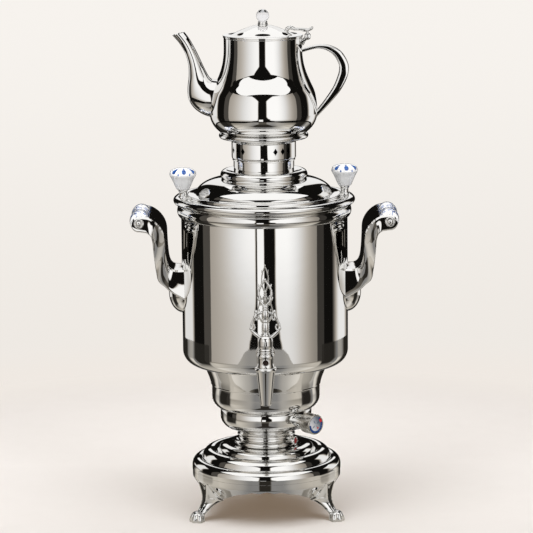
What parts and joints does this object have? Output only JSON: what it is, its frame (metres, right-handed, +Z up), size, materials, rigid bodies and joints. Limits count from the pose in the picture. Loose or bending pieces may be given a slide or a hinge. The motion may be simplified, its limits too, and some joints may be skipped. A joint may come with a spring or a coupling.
{
  "type": "electric samovar",
  "caption": "Polished steel electric samovar: tank with a filigree tap and porcelain-gripped handles, stepped base on paw feet, lid, vented crown and a teapot on top.",
  "frame": {"origin": "on the vertical axis at the level of the soles, where the samovar stands", "axes": "+Z up; -Y towards the tap, the front; +X to the right handle and the teapot's handle, -X to the left handle and the spout"},
  "size_m": [0.2618, 0.2173, 0.4996],
  "materials": {
    "polished_steel": "mirror polished stainless steel",
    "cast_chrome": "chromed casting",
    "plain_steel": "bright zinc and bare steel",
    "brass": "turned",
    "porcelain": "white glaze with blue painted flowers",
    "crystal": "cut and polished clear glass",
    "red_lens": "glossy, dark when off",
    "dial": "printed scale under clear lacquer",
    "black_plastic": "matt",
    "rubber": "matt",
    "sheath": "heat-tinted sheath"
  },
  "bodies": {
    "samovar": {"base_skirt": "polished_steel", "foot_left": "cast_chrome", "foot_right": "cast_chrome", "foot_rear": "cast_chrome", "foot_screws": "plain_steel", "base_dome": "polished_steel", "bottom_plate": "plain_steel", "tie_rod": "plain_steel", "tie_nut": "plain_steel", "neck_column": "polished_steel", "lamp_bezel": "cast_chrome", "lamp_lens": "red_lens", "lower_bowl": "polished_steel", "power_inlet": "black_plastic", "inlet_pins": "brass", "thermostat_body": "black_plastic", "thermostat_bush": "cast_chrome", "body_tank": "polished_steel", "rim_ring": "polished_steel", "heating_element": "sheath", "element_nuts": "brass", "element_seals": "rubber", "safety_cutout": "black_plastic", "tap_body": "cast_chrome", "tap_nozzle": "cast_chrome", "tap_collar": "cast_chrome", "tap_seal": "rubber", "tap_nut": "brass", "handle_bracket_left": "cast_chrome", "handle_bracket_right": "cast_chrome", "handle_boss_left": "cast_chrome", "handle_boss_right": "cast_chrome", "grip_rod_left": "cast_chrome", "grip_rod_right": "cast_chrome", "grip_left": "porcelain", "grip_right": "porcelain", "handle_bolts": "plain_steel"},
    "thermostat_dial": {"thermostat_shaft": "plain_steel", "thermostat_knob": "cast_chrome", "dial_face": "dial"},
    "tap_key": {"tap_plug": "brass", "tap_cap": "cast_chrome", "tap_key": "cast_chrome"},
    "lid": {"lid": "polished_steel", "lid_knob_stems": "cast_chrome", "lid_knob_left": "porcelain", "lid_knob_right": "porcelain"},
    "crown": {"crown": "polished_steel"},
    "teapot": {"teapot_body": "polished_steel", "teapot_spout": "polished_steel", "teapot_handle": "polished_steel", "hinge_bracket": "cast_chrome", "hinge_pin": "cast_chrome"},
    "teapot_lid": {"teapot_lid": "polished_steel", "lid_lever": "cast_chrome", "finial_stem": "cast_chrome", "crystal_knob": "crystal"}
  },
  "joints": [
    {"name": "thermostat_turn", "type": "hinge", "parent": "samovar", "child": "thermostat_dial", "pos_m": [0, 0, 0.1001], "axis": [-0.6639, 0.7478, 0], "range_deg": [0, 270]},
    {"name": "tap_turn", "type": "hinge", "parent": "samovar", "child": "tap_key", "pos_m": [0, -0.118, 0.178], "axis": [0, 0, 1], "range_deg": [0, 90]},
    {"name": "lid_lift", "type": "slide", "parent": "samovar", "child": "lid", "axis": [0, 0, 1], "range_m": [0, 0.15]},
    {"name": "crown_lift", "type": "slide", "parent": "lid", "child": "crown", "axis": [0, 0, 1], "range_m": [0, 0.06]},
    {"name": "teapot_lift", "type": "slide", "parent": "crown", "child": "teapot", "axis": [0, 0, 1], "range_m": [0, 0.1]},
    {"name": "teapot_lid_turn", "type": "hinge", "parent": "teapot", "child": "teapot_lid", "pos_m": [0.0434, 0, 0.473], "axis": [0, 1, 0], "range_deg": [0, 100]}
  ]
}
